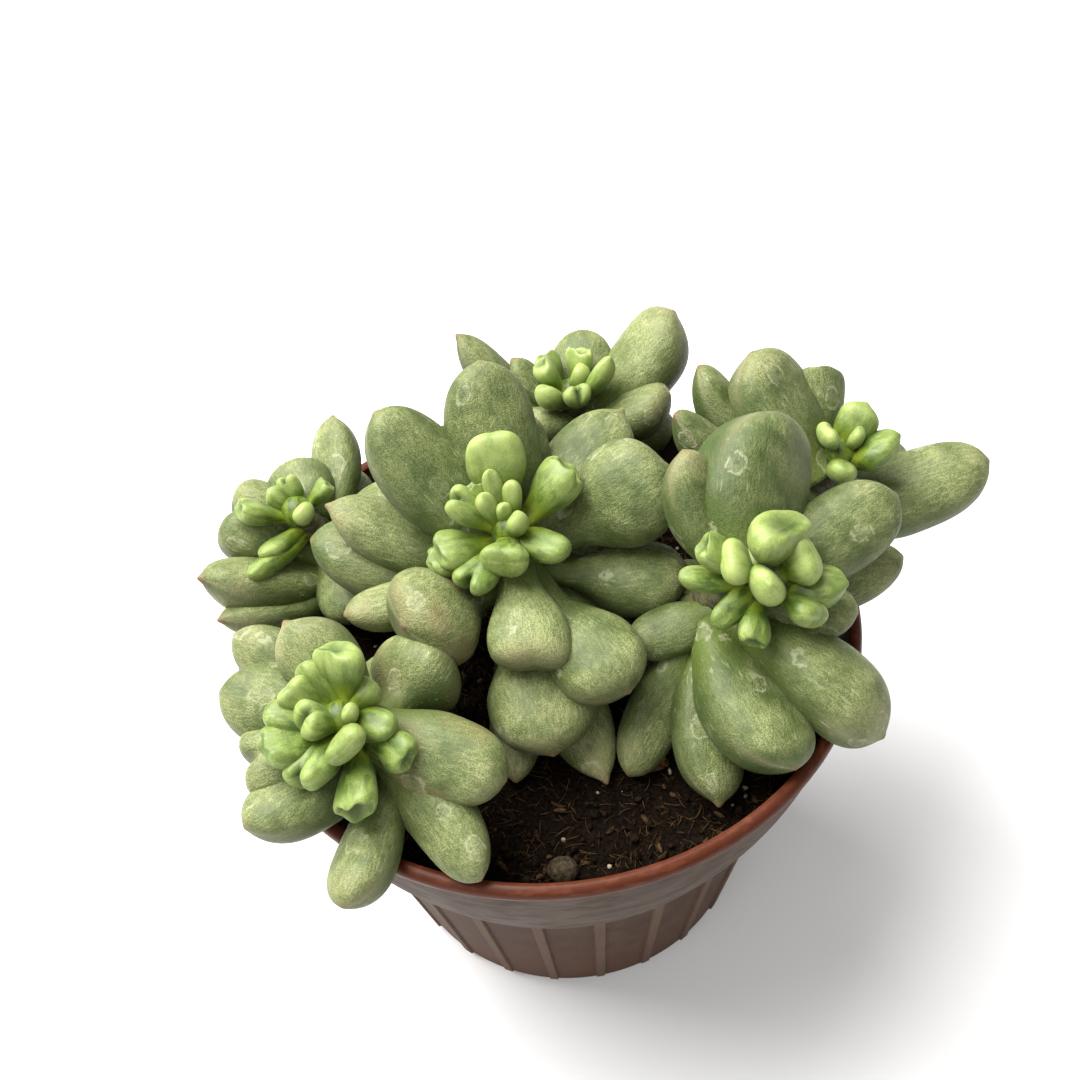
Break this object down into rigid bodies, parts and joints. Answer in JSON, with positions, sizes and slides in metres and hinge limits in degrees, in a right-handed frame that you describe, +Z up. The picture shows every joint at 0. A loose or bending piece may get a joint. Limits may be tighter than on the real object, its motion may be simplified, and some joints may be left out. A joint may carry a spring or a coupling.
{
  "type": "potted succulent",
  "caption": "Potted succulent: rosettes of thick, pointed grey-green leaves with bright young hearts, in a ribbed round plastic nursery pot filled with dark soil.",
  "frame": {"origin": "centre of the pot's flat base", "axes": "+Z up along the pot's axis; the pictured front of the plant faces -Y, its right is +X"},
  "size_m": [0.1566, 0.1204, 0.1226],
  "materials": {
    "pot_plastic": "thin moulded nursery pot plastic, terracotta brown, dusty",
    "soil": "dark loose peat",
    "pebble": "rough grey stone",
    "dry_leaf": "dry brown leaf",
    "old_leaf": "dusty grey-green succulent leaf",
    "young_leaf": "fresh bright green succulent leaf"
  },
  "bodies": {
    "root": {"pot": "pot_plastic", "soil": "soil", "pebble": "pebble", "dry_leaf": "dry_leaf", "rosette_centre": "old_leaf", "rosette_front_left": "old_leaf", "rosette_right": "old_leaf", "rosette_back": "old_leaf", "rosette_left": "old_leaf", "rosette_back_right": "old_leaf", "heart_centre": "young_leaf", "heart_front_left": "young_leaf", "heart_right": "young_leaf", "heart_back": "young_leaf", "heart_left": "young_leaf", "heart_back_right": "young_leaf"}
  },
  "joints": []
}
